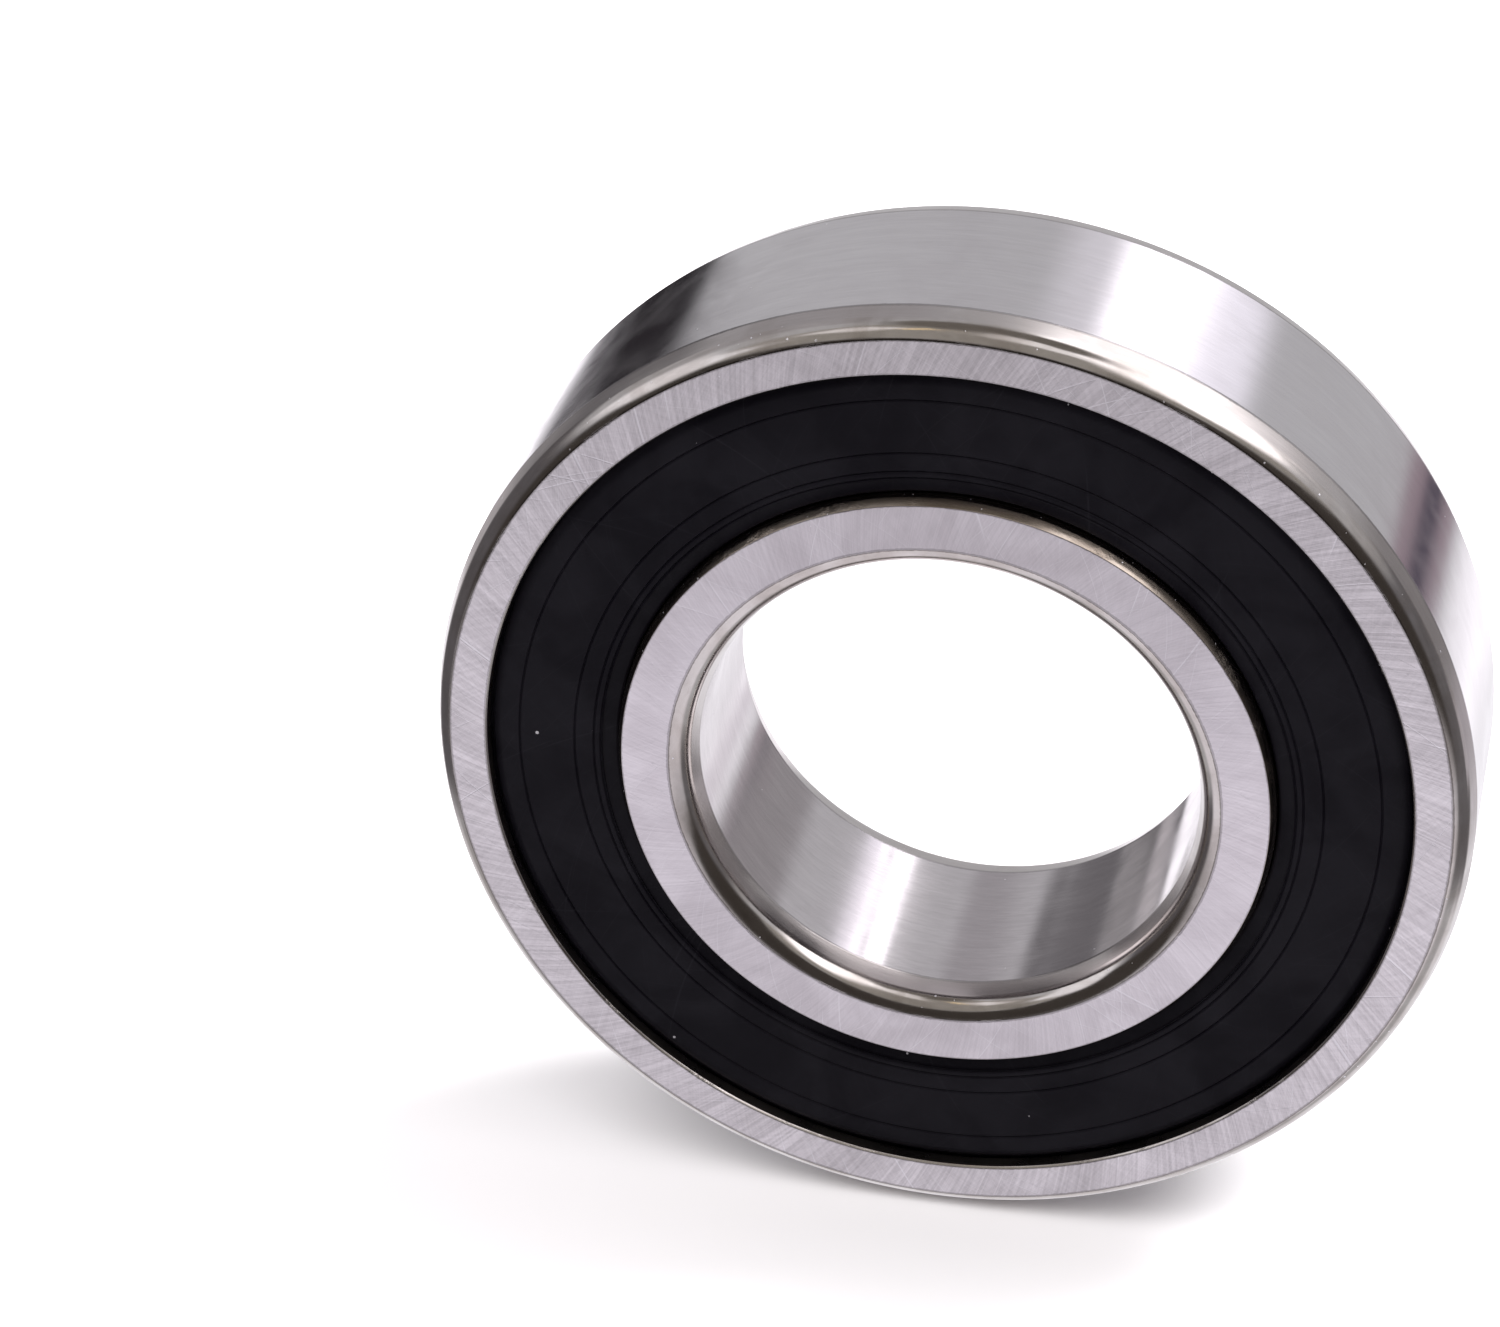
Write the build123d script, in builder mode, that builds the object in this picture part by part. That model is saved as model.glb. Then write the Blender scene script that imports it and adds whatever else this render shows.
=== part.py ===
from build123d import *
import os
from math import cos, floor, pi, radians, sin, sqrt

# Sealed single-row angular contact ball bearing, in millimetres.
# The bearing's axis is Y. The origin is at the bearing's centre. The front face looks towards -Y and
# the bearing stands on its rim, with +Z up. Both rings and both seals are turned shapes, so a profile
# is drawn in the XY plane, with X as the radius and Y along the axis, and revolved about Y.
FRONT = -1
REAR = 1

# ---- driving dimensions ----
bore_diameter = 30.0
outside_diameter = 62.0
width = 16.0

ball_diameter = 9.525            # 3/8 inch
ball_gap = 1.5                   # least gap along the pitch circle, where the cage has its bars
contact_angle = 40.0             # degrees from the radial plane
groove_conformity = 0.52         # raceway radius as a part of the ball's diameter
ball_play = 0.015                # ball to raceway, at each contact
shoulder_height = 2.5            # high shoulders, above the lowest point of the ball
inner_relief_height = 1.85       # the inner ring's low shoulder, above the same point
snap_lip = 0.11                  # what the outer ring's low shoulder holds the balls back by

outer_corner_radial = 1.18       # rounded outside corners of the outer ring
outer_corner_axial = 2.05
bore_corner_radial = 1.48        # rounded corners of the inner ring's bore
bore_corner_axial = 2.05
lead_length = 1.0                # lead chamfer, the first part of each corner, along the axis
lead_angle = 15.0                # degrees from the cylinder
edge_break = 0.12                # small chamfer at the inner edges of the outer ring's faces

seal_recess = 0.1                # outer ring's inner wall, under the low shoulder's radius
seal_groove_depth = 0.6          # groove that holds the seal's bead, outwards from that wall
seal_groove_start = 0.95         # depth of the groove's front edge below the ring's face
seal_groove_slope = 0.25         # slope of the groove's front wall, along the axis
seal_seat_depth = 1.9            # depth of the wall that the bead rests on
land_step = 1.12                 # inner ring's seal land, below its high shoulder
land_length = 1.9                # end of that land, below the ring's face
land_bevel_radial = 0.3          # bevel between the ring's face and the land
land_bevel_axial = 0.55

seal_sink = 0.64                 # flat of the seal, below the ring's face
seal_rim_round = 0.85            # rounded-off rim of the flat, beside the outer ring's wall
seal_rim_drop = 0.5
rubber_skin = 0.4                # rubber in front of the steel core
rubber_edge = 0.35               # rubber round the core's outside and inside edges
bead_gap = 0.03                  # bead to the bottom of its groove
wall_gap = 0.04                  # seal to the outer ring's wall
core_thickness = 0.5
core_bend = 0.6                  # outside radius of the core's flange
lip_gap = 0.05                   # lip to the land that it runs on
lip_length = 0.97                # sloping lip, across the radius
lip_drop = 0.3                   # how far the lip's tip lies below the flat
lip_thickness = 0.3
lip_heel = 0.35                  # rubber behind the root of the lip
outer_line_inset = 1.85          # moulded line near the rim, from the outer ring's wall
inner_line_offset = 2.72         # moulded line near the lip, from the land
rib_line_offset = 1.54           # pair of lines that set off a rib beside the lip, from the land
rib_width = 0.42
line_width = 0.16
line_depth = 0.12

cage_pocket_play = 0.15          # ball to the cage's window
cage_seal_gap = 0.2              # end of the cage to the seat plane of the seal
cage_front_inner_gap = 1.35      # cage to the inner ring's high shoulder
cage_front_outer_gap = 1.87      # cage to the outer ring's low shoulder
cage_rear_inner_gap = 0.97       # cage to the inner ring's low shoulder
cage_rear_outer_gap = 0.6        # cage to the outer ring's high shoulder
cage_edge_round = 0.3
grease_notch_radius = 0.8        # shallow scallop in the front end of each bar

# ---- sizes that follow from them ----
half_width = width / 2
bore_radius = bore_diameter / 2
outside_radius = outside_diameter / 2
ball_radius = ball_diameter / 2
pitch_radius = (bore_radius + outside_radius) / 2
ball_count = floor(2 * pi * pitch_radius / (ball_diameter + ball_gap))
ball_step = 360 / ball_count     # degrees between balls
first_ball_angle = 90            # the first ball stands at the top
groove_radius = groove_conformity * ball_diameter

# The raceways touch the ball on a line that leans from the radial plane by the contact angle: on the
# outer ring towards the rear, on the inner ring towards the front.
contact_radial = cos(radians(contact_angle))
contact_axial = sin(radians(contact_angle))
groove_offset = groove_radius - ball_radius - ball_play
outer_groove_centre = (pitch_radius - groove_offset * contact_radial, -groove_offset * contact_axial)
inner_groove_centre = (pitch_radius + groove_offset * contact_radial, groove_offset * contact_axial)

outer_low_shoulder = pitch_radius + ball_radius - snap_lip
outer_high_shoulder = pitch_radius + ball_radius - shoulder_height
inner_high_shoulder = pitch_radius - ball_radius + shoulder_height
inner_low_shoulder = pitch_radius - ball_radius + inner_relief_height
wall_radius = outer_low_shoulder - seal_recess
seal_groove_radius = wall_radius + seal_groove_depth
land_radius = inner_high_shoulder - land_step

outer_shoulder = {FRONT: outer_low_shoulder, REAR: outer_high_shoulder}
inner_shoulder = {FRONT: inner_high_shoulder, REAR: inner_low_shoulder}


def below_face(side, depth):
    """Place along the axis that lies a depth below the face of one side."""
    return side * (half_width - depth)


def draw_corner(cylinder_radius, towards, corner_radial, corner_axial, side):
    """Lead chamfer and rounded corner from a ring's cylinder to its face; towards is -1 or 1."""
    lead_radial = lead_length * sin(radians(lead_angle)) / cos(radians(lead_angle))
    start = (cylinder_radius, below_face(side, corner_axial))
    lead_end = (cylinder_radius + towards * lead_radial, below_face(side, corner_axial - lead_length))
    face_edge = (cylinder_radius + towards * corner_radial, below_face(side, 0))
    Line(start, lead_end)
    TangentArc(lead_end, face_edge, tangent=(towards * lead_radial, side * lead_length))
    return face_edge


def groove_reach(centre, shoulder):
    """Half the width of a raceway groove where it opens into a shoulder."""
    return sqrt(groove_radius**2 - (shoulder - centre[0]) ** 2)


os.makedirs("parts", exist_ok=True)

# ---- outer ring ----
with BuildPart() as outer_ring:
    with BuildSketch(Plane.XY):
        with BuildLine():
            Line(
                (outside_radius, below_face(FRONT, outer_corner_axial)),
                (outside_radius, below_face(REAR, outer_corner_axial)),
            )
            groove_edges = {}
            for side in (FRONT, REAR):
                face_edge = draw_corner(outside_radius, -1, outer_corner_radial, outer_corner_axial, side)
                reach = groove_reach(outer_groove_centre, outer_shoulder[side])
                groove_edges[side] = (outer_shoulder[side], outer_groove_centre[1] + side * reach)
                Polyline(
                    face_edge,
                    (wall_radius + edge_break, below_face(side, 0)),
                    (wall_radius, below_face(side, edge_break)),
                    (wall_radius, below_face(side, seal_groove_start)),
                    (seal_groove_radius, below_face(side, seal_groove_start + seal_groove_slope)),
                    (seal_groove_radius, below_face(side, seal_seat_depth)),
                    (outer_shoulder[side], below_face(side, seal_seat_depth)),
                    groove_edges[side],
                )
            groove_bottom = (outer_groove_centre[0] + groove_radius, outer_groove_centre[1])
            ThreePointArc(groove_edges[FRONT], groove_bottom, groove_edges[REAR])
        make_face()
    revolve(axis=Axis.Y)
outer_ring.part.label = "outer_ring"
export_step(outer_ring.part, "parts/outer_ring.step")

# ---- inner ring ----
with BuildPart() as inner_ring:
    with BuildSketch(Plane.XY):
        with BuildLine():
            Line(
                (bore_radius, below_face(FRONT, bore_corner_axial)),
                (bore_radius, below_face(REAR, bore_corner_axial)),
            )
            groove_edges = {}
            for side in (FRONT, REAR):
                face_edge = draw_corner(bore_radius, 1, bore_corner_radial, bore_corner_axial, side)
                reach = groove_reach(inner_groove_centre, inner_shoulder[side])
                groove_edges[side] = (inner_shoulder[side], inner_groove_centre[1] + side * reach)
                Polyline(
                    face_edge,
                    (land_radius - land_bevel_radial, below_face(side, 0)),
                    (land_radius, below_face(side, land_bevel_axial)),
                    (land_radius, below_face(side, land_length)),
                    (inner_shoulder[side], below_face(side, land_length)),
                    groove_edges[side],
                )
            groove_bottom = (inner_groove_centre[0] - groove_radius, inner_groove_centre[1])
            ThreePointArc(groove_edges[FRONT], groove_bottom, groove_edges[REAR])
        make_face()
    revolve(axis=Axis.Y)
inner_ring.part.label = "inner_ring"
export_step(inner_ring.part, "parts/inner_ring.step")

# ---- balls ----
for number in range(ball_count):
    with BuildPart(Plane.XZ) as ball:
        with PolarLocations(pitch_radius, 1, start_angle=first_ball_angle + number * ball_step):
            Sphere(ball_radius)
    ball.part.label = f"ball_{number + 1:02d}"
    export_step(ball.part, f"parts/{ball.part.label}.step")

# ---- cage ----
# One moulded ring that leans with the contact line, with a round window through it for each ball.
cage_end = half_width - seal_seat_depth - cage_seal_gap
cage_front_inside = inner_high_shoulder + cage_front_inner_gap
cage_front_outside = outer_low_shoulder - cage_front_outer_gap
cage_rear_inside = inner_low_shoulder + cage_rear_inner_gap
cage_rear_outside = outer_high_shoulder - cage_rear_outer_gap
notch_radius = (cage_front_inside + cage_front_outside) / 2
with BuildPart(Plane.XZ) as ball_cage:
    with BuildSketch(Plane.XY):
        with BuildLine():
            Polyline(
                (cage_front_inside, FRONT * cage_end),
                (cage_front_outside, FRONT * cage_end),
                (cage_rear_outside, REAR * cage_end),
                (cage_rear_inside, REAR * cage_end),
                close=True,
            )
        make_face()
        fillet(vertices(), radius=cage_edge_round)
    revolve(axis=Axis.Y)
    with PolarLocations(pitch_radius, ball_count, start_angle=first_ball_angle):
        Cylinder(
            ball_radius + cage_pocket_play, ball_diameter, rotation=(0, 90, 0), mode=Mode.SUBTRACT
        )
    with Locations((0, 0, -FRONT * cage_end)):
        with PolarLocations(notch_radius, ball_count, start_angle=first_ball_angle + ball_step / 2):
            Sphere(grease_notch_radius, rotation=(0, 90, 0), mode=Mode.SUBTRACT)
ball_cage.part.label = "ball_cage"
export_step(ball_cage.part, "parts/ball_cage.step")

# ---- seals ----
# Each seal is a pressed steel core with rubber moulded on its front, its rim and its lip. The core's
# back stays bare. The bead at the rim rests on the seat in the outer ring, and the lip reaches the
# inner ring's land.
core_front = seal_sink + rubber_skin
core_back = core_front + core_thickness
core_outside = wall_radius - rubber_edge
core_inside = land_radius + lip_gap + lip_length + rubber_edge
bead_radius = seal_groove_radius - bead_gap
rim_radius = wall_radius - wall_gap
lip_tip = land_radius + lip_gap
lip_root = lip_tip + lip_length


def moulded_line(radius, side):
    """Three points of a fine groove in the seal's flat, from the outside inwards."""
    return [
        (radius + line_width / 2, below_face(side, seal_sink)),
        (radius, below_face(side, seal_sink + line_depth)),
        (radius - line_width / 2, below_face(side, seal_sink)),
    ]


for side, place in ((FRONT, "front"), (REAR, "rear")):
    with BuildPart() as seal_core:
        with BuildSketch(Plane.XY):
            with BuildLine():
                Polyline(
                    (core_outside, below_face(side, core_front + core_bend)),
                    (core_outside, below_face(side, seal_seat_depth)),
                    (core_outside - core_thickness, below_face(side, seal_seat_depth)),
                    (core_outside - core_thickness, below_face(side, core_back)),
                    (core_inside, below_face(side, core_back)),
                    (core_inside, below_face(side, core_front)),
                    (core_outside - core_bend, below_face(side, core_front)),
                )
                TangentArc(
                    (core_outside - core_bend, below_face(side, core_front)),
                    (core_outside, below_face(side, core_front + core_bend)),
                    tangent=(1, 0),
                )
            make_face()
        revolve(axis=Axis.Y)
    seal_core.part.label = f"{place}_seal_core"
    export_step(seal_core.part, f"parts/{seal_core.part.label}.step")

    with BuildPart() as seal_rubber:
        with BuildSketch(Plane.XY):
            with BuildLine():
                flat_edge = (rim_radius - seal_rim_round, below_face(side, seal_sink))
                rim_edge = (rim_radius, below_face(side, seal_sink + seal_rim_drop))
                TangentArc(flat_edge, rim_edge, tangent=(1, 0))
                Polyline(
                    rim_edge,
                    (bead_radius, below_face(side, seal_groove_start + seal_groove_slope + bead_gap)),
                    (bead_radius, below_face(side, seal_seat_depth)),
                    (core_outside, below_face(side, seal_seat_depth)),
                    (core_outside, below_face(side, core_front + core_bend)),
                )
                TangentArc(
                    (core_outside - core_bend, below_face(side, core_front)),
                    (core_outside, below_face(side, core_front + core_bend)),
                    tangent=(1, 0),
                )
                Polyline(
                    (core_outside - core_bend, below_face(side, core_front)),
                    (core_inside, below_face(side, core_front)),
                    (core_inside, below_face(side, core_back)),
                    (lip_root, below_face(side, core_back)),
                    (lip_root - lip_heel, below_face(side, core_back - lip_heel / 2)),
                    (lip_tip + lip_thickness / 2, below_face(side, seal_sink + lip_drop + lip_thickness)),
                    (lip_tip, below_face(side, seal_sink + lip_drop + lip_thickness / 2)),
                    (lip_tip + lip_thickness / 2, below_face(side, seal_sink + lip_drop)),
                    (lip_root, below_face(side, seal_sink + line_depth)),
                    (lip_root, below_face(side, seal_sink)),
                    *reversed(moulded_line(land_radius + rib_line_offset - rib_width, side)),
                    *reversed(moulded_line(land_radius + rib_line_offset, side)),
                    *reversed(moulded_line(land_radius + inner_line_offset, side)),
                    *reversed(moulded_line(wall_radius - outer_line_inset, side)),
                    flat_edge,
                )
            make_face()
        revolve(axis=Axis.Y)
    seal_rubber.part.label = f"{place}_seal_rubber"
    export_step(seal_rubber.part, f"parts/{seal_rubber.part.label}.step")
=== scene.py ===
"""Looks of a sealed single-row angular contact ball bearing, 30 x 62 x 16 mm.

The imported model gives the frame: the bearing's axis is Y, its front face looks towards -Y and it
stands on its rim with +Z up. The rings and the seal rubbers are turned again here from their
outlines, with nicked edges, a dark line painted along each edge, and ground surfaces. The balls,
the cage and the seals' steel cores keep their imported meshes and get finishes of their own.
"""

from __future__ import annotations

import logging
import math
from dataclasses import dataclass, field
from enum import Enum, IntEnum
from typing import Any, Sequence

import bpy
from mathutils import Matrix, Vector


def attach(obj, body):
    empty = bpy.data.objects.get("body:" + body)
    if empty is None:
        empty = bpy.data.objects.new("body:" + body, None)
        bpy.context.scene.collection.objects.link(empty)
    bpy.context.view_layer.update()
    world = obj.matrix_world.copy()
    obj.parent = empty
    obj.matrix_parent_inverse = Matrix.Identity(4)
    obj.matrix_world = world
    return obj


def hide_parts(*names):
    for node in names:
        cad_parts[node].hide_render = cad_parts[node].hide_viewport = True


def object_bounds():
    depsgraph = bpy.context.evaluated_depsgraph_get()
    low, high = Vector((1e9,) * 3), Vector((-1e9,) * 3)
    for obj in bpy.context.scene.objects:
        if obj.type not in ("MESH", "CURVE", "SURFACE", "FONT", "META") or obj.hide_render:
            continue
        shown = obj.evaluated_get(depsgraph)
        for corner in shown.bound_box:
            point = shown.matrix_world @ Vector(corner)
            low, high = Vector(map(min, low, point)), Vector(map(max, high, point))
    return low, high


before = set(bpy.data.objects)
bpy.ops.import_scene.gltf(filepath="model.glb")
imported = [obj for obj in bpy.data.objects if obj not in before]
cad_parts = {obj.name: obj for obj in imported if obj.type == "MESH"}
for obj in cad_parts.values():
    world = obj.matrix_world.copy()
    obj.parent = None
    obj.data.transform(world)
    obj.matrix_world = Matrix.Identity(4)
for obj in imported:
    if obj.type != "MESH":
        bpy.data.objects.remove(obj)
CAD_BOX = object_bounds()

log = logging.getLogger("bearing")

MM = 0.001
MICRON = 0.000001
FRONT = -1
REAR = 1

Colour = tuple[float, float, float]
Socket = bpy.types.NodeSocket


# === Node graphs ===


class SocketKind(Enum):
    """Kinds of socket that the groups use."""

    NUMBER = "NodeSocketFloat"
    COUNT = "NodeSocketInt"
    VECTOR = "NodeSocketVector"
    COLOUR = "NodeSocketColor"
    SHAPE = "NodeSocketGeometry"
    FINISH = "NodeSocketMaterial"


class Graph:
    """Short calls that add nodes to one tree and join them."""

    def __init__(self, tree: bpy.types.NodeTree) -> None:
        """Keeps the tree that the nodes go into."""
        self.tree = tree

    def node(self, kind: str, inputs: dict[str | int, Any] | None = None, **settings: Any) -> bpy.types.Node:
        """Adds one node.

        Args:
            kind: Blender's name for the node type.
            inputs: Values or sockets for the node's inputs, by name or index.
            **settings: Properties of the node itself.

        Returns:
            The new node.
        """
        made = self.tree.nodes.new(kind)
        for name, value in settings.items():
            setattr(made, name, value)
        for key, value in (inputs or {}).items():
            self.feed(made.inputs[key], value)
        return made

    def feed(self, target: Socket, value: Any) -> None:
        """Joins a socket to an input, or sets the input's own value.

        Args:
            target: The input.
            value: A socket to join, or a plain value.
        """
        if isinstance(value, bpy.types.NodeSocket):
            self.tree.links.new(value, target)
        else:
            target.default_value = value

    def math(
        self, operation: str, first: Any, second: Any = None, third: Any = None, clamp: bool = False
    ) -> Socket:
        """Adds a Math node.

        Args:
            operation: Blender's name for the operation.
            first: First number or socket.
            second: Second number or socket, where the operation has one.
            third: Third number or socket, where the operation has one.
            clamp: Whether the result stays between 0 and 1.

        Returns:
            The result's socket.
        """
        made = self.node("ShaderNodeMath", operation=operation, use_clamp=clamp)
        for index, value in enumerate((first, second, third)):
            if value is not None:
                self.feed(made.inputs[index], value)
        return made.outputs[0]

    def vector(self, operation: str, first: Any, second: Any = None) -> Socket:
        """Adds a Vector Math node.

        Args:
            operation: Blender's name for the operation.
            first: First vector or socket.
            second: Second vector or socket, where the operation has one.

        Returns:
            The result's socket.
        """
        made = self.node("ShaderNodeVectorMath", operation=operation)
        self.feed(made.inputs[0], first)
        if second is not None:
            self.feed(made.inputs[1], second)
        return made.outputs["Value" if operation in ("LENGTH", "DOT_PRODUCT") else "Vector"]

    def ramp(self, value: Any, low: float, high: float, to_low: float = 0.0, to_high: float = 1.0) -> Socket:
        """Turns a range of values smoothly into another.

        Args:
            value: The number or socket to read.
            low: Value that gives to_low.
            high: Value that gives to_high.
            to_low: Result at low and beyond it.
            to_high: Result at high and beyond it.

        Returns:
            The result's socket.
        """
        made = self.node("ShaderNodeMapRange", interpolation_type="SMOOTHSTEP")
        for name, number in (
            ("Value", value),
            ("From Min", low),
            ("From Max", high),
            ("To Min", to_low),
            ("To Max", to_high),
        ):
            self.feed(made.inputs[name], number)
        return made.outputs["Result"]

    def mix(self, amount: Any, first: Any, second: Any) -> Socket:
        """Mixes two colours.

        Args:
            amount: How much of the second shows, from 0 to 1.
            first: First colour or socket.
            second: Second colour or socket.

        Returns:
            The mixed colour's socket.
        """
        made = self.node("ShaderNodeMix", data_type="RGBA", blend_type="MIX")
        self.feed(made.inputs[0], amount)
        self.feed(made.inputs[6], first if isinstance(first, bpy.types.NodeSocket) else (*first, 1.0))
        self.feed(made.inputs[7], second if isinstance(second, bpy.types.NodeSocket) else (*second, 1.0))
        return made.outputs[2]

    def noise(self, place: Any, scale: float, detail: float = 2.0, roughness: float = 0.5) -> Socket:
        """Adds a Noise texture and gives its value.

        Args:
            place: The vector that the texture reads.
            scale: Size of the pattern.
            detail: Number of finer layers.
            roughness: Strength of the finer layers.

        Returns:
            The noise value's socket.
        """
        made = self.node(
            "ShaderNodeTexNoise", {"Vector": place, "Scale": scale, "Detail": detail, "Roughness": roughness}
        )
        return made.outputs["Fac"]

    def group(self, tree: bpy.types.NodeTree, **inputs: Any) -> bpy.types.Node:
        """Places a shader group.

        Args:
            tree: The group's tree.
            **inputs: Its inputs, with underscores for the spaces in their names.

        Returns:
            The group's node.
        """
        made = self.node("ShaderNodeGroup", node_tree=tree)
        for name, value in inputs.items():
            self.feed(made.inputs[name.replace("_", " ")], value)
        return made


def open_group(
    name: str, kind: str, inputs: dict[str, SocketKind], outputs: dict[str, SocketKind]
) -> tuple[Graph, bpy.types.Node, bpy.types.Node]:
    """Makes an empty node group with named sockets.

    Args:
        name: The group's name.
        kind: Blender's name for the tree type.
        inputs: Kind of each input by name.
        outputs: Kind of each output by name.

    Returns:
        The group's graph, its input node and its output node.
    """
    tree = bpy.data.node_groups.new(name, kind)
    for label, socket in inputs.items():
        tree.interface.new_socket(name=label, in_out="INPUT", socket_type=socket.value)
    for label, socket in outputs.items():
        tree.interface.new_socket(name=label, in_out="OUTPUT", socket_type=socket.value)
    graph = Graph(tree)
    return graph, graph.node("NodeGroupInput"), graph.node("NodeGroupOutput")


# === Surface effects that several finishes share ===


@dataclass(frozen=True)
class Lay:
    """One family of scratches across a face.

    Attributes:
        twist: How far the lines lean from the radius, in radians a metre.
        fineness: Number of lines, as a share of the group's own number.
        along: Pattern scale along the lines.
        weight: Share of this family in the height.
    """

    twist: float
    fineness: float
    along: float
    weight: float


LAYS = (
    Lay(-16.0, 1.0, 120.0, 0.5),
    Lay(22.0, 0.8, 200.0, 0.18),
    Lay(-42.0, 1.5, 260.0, 0.2),
    Lay(60.0, 1.3, 260.0, 0.12),
)


class Effects:
    """Shader groups for the marks that machining, handling and wear leave."""

    def __init__(self) -> None:
        """Builds each group once."""
        self.grain = self._grain()
        self.scratches = self._scratches()
        self.specks = self._specks()
        self.edge_line_and_nicks = self._edge_line_and_nicks()
        self.smudges = self._smudges()

    @staticmethod
    def _grain() -> bpy.types.NodeTree:
        """Lines left by grinding or turning.

        Returns:
            A group that reads a place and a stretch and gives a value from 0 to 1.
        """
        graph, given, result = open_group(
            "grinding grain",
            "ShaderNodeTree",
            {"Place": SocketKind.VECTOR, "Stretch": SocketKind.VECTOR},
            {"Grain": SocketKind.NUMBER},
        )
        lines = graph.vector("MULTIPLY", given.outputs["Place"], given.outputs["Stretch"])
        fine = graph.noise(lines, 1.0, 3.0, 0.65)
        broad = graph.noise(graph.vector("MULTIPLY", lines, (0.31, 0.31, 0.31)), 1.0, 2.0)
        blend = graph.math("ADD", graph.math("MULTIPLY", fine, 0.65), graph.math("MULTIPLY", broad, 0.35))
        graph.feed(result.inputs["Grain"], blend)
        return graph.tree

    @staticmethod
    def _scratches() -> bpy.types.NodeTree:
        """Fine lines across a turned face, leaning both ways from the radius, with a few longer ones.

        Returns:
            A group that gives a height and a mask of the deepest lines.
        """
        graph, given, result = open_group(
            "crossing scratches",
            "ShaderNodeTree",
            {"Place": SocketKind.VECTOR, "Lines": SocketKind.NUMBER},
            {"Height": SocketKind.NUMBER, "Deep": SocketKind.NUMBER},
        )
        flat = graph.vector("MULTIPLY", given.outputs["Place"], (1.0, 0.0, 1.0))
        radius = graph.vector("LENGTH", flat)
        height: Any = 0.0
        deep: Any = 0.0
        for lay in LAYS:
            turned = graph.node(
                "ShaderNodeVectorRotate",
                {"Vector": flat, "Angle": graph.math("MULTIPLY", radius, lay.twist)},
                rotation_type="Y_AXIS",
            ).outputs[0]
            heading = graph.vector("NORMALIZE", turned)
            count = graph.math("MULTIPLY", given.outputs["Lines"], lay.fineness)
            around = graph.node("ShaderNodeVectorMath", {0: heading, "Scale": count}, operation="SCALE").outputs[0]
            step = graph.node(
                "ShaderNodeCombineXYZ", {"X": 0.0, "Y": graph.math("MULTIPLY", radius, lay.along), "Z": 0.0}
            ).outputs[0]
            lines = graph.noise(graph.vector("ADD", around, step), 1.0, 2.0, 0.6)
            height = graph.math("ADD", height, graph.ramp(lines, 0.25, 0.75, 0.0, lay.weight))
            far_step = graph.vector("MULTIPLY", step, (0.0, 0.45, 0.0))
            long_lines = graph.noise(graph.vector("ADD", around, far_step), 0.8, 1.0)
            deep = graph.math("MAXIMUM", deep, graph.ramp(long_lines, 0.71, 0.76))
        graph.feed(result.inputs["Height"], height)
        graph.feed(result.inputs["Deep"], deep)
        return graph.tree

    @staticmethod
    def _specks() -> bpy.types.NodeTree:
        """Small separate spots, such as dust or painted glints.

        Returns:
            A group that gives a mask of the spots.
        """
        graph, given, result = open_group(
            "specks",
            "ShaderNodeTree",
            {"Place": SocketKind.VECTOR, "Fineness": SocketKind.NUMBER, "Share": SocketKind.NUMBER},
            {"Mask": SocketKind.NUMBER},
        )
        cells = graph.node(
            "ShaderNodeTexVoronoi",
            {"Vector": given.outputs["Place"], "Scale": given.outputs["Fineness"], "Randomness": 1.0},
        )
        pick = graph.node("ShaderNodeSeparateColor", {0: cells.outputs["Color"]})
        chosen = graph.math("LESS_THAN", pick.outputs[0], given.outputs["Share"])
        size = graph.math("MULTIPLY_ADD", pick.outputs[1], 0.22, 0.08)
        inside = graph.math("LESS_THAN", cells.outputs["Distance"], size)
        graph.feed(result.inputs["Mask"], graph.math("MULTIPLY", chosen, inside))
        return graph.tree

    @staticmethod
    def _edge_line_and_nicks() -> bpy.types.NodeTree:
        """A dark ragged line painted along an edge, and nicks beside it.

        Returns:
            A group that gives a mask along the edge and the depth of its nicks.
        """
        graph, given, result = open_group(
            "edge wear",
            "ShaderNodeTree",
            {"Place": SocketKind.VECTOR, "Edge": SocketKind.NUMBER, "Fineness": SocketKind.NUMBER},
            {"Line": SocketKind.NUMBER, "Nicks": SocketKind.NUMBER},
        )
        rough = graph.noise(given.outputs["Place"], 1.0, 4.0, 0.75)
        graph.feed(rough.node.inputs["Scale"], given.outputs["Fineness"])
        wide = graph.node("ShaderNodeTexNoise", {"Vector": given.outputs["Place"], "Detail": 2.0})
        graph.feed(wide.inputs["Scale"], graph.math("MULTIPLY", given.outputs["Fineness"], 0.11))
        ragged = graph.math("MULTIPLY", graph.math("SUBTRACT", rough, 0.5), 1.1)
        reach = graph.math("ADD", given.outputs["Edge"], ragged)
        line = graph.ramp(reach, 0.62, 0.86)
        nicks = graph.math("MULTIPLY", graph.ramp(reach, 0.75, 1.1), graph.ramp(wide.outputs["Fac"], 0.5, 0.64))
        graph.feed(result.inputs["Line"], line)
        graph.feed(result.inputs["Nicks"], nicks)
        return graph.tree

    @staticmethod
    def _smudges() -> bpy.types.NodeTree:
        """Broad uneven patches from handling and cleaning.

        Returns:
            A group that gives a value from 0 to 1.
        """
        graph, given, result = open_group(
            "smudges",
            "ShaderNodeTree",
            {"Place": SocketKind.VECTOR, "Fineness": SocketKind.NUMBER},
            {"Patch": SocketKind.NUMBER},
        )
        base = graph.node(
            "ShaderNodeTexNoise",
            {
                "Vector": given.outputs["Place"],
                "Scale": given.outputs["Fineness"],
                "Detail": 5.0,
                "Distortion": 0.8,
            },
        )
        graph.feed(result.inputs["Patch"], graph.ramp(base.outputs["Fac"], 0.32, 0.68))
        return graph.tree


# === Finishes ===

# Colour of the dark ragged line painted along the edges.
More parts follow.
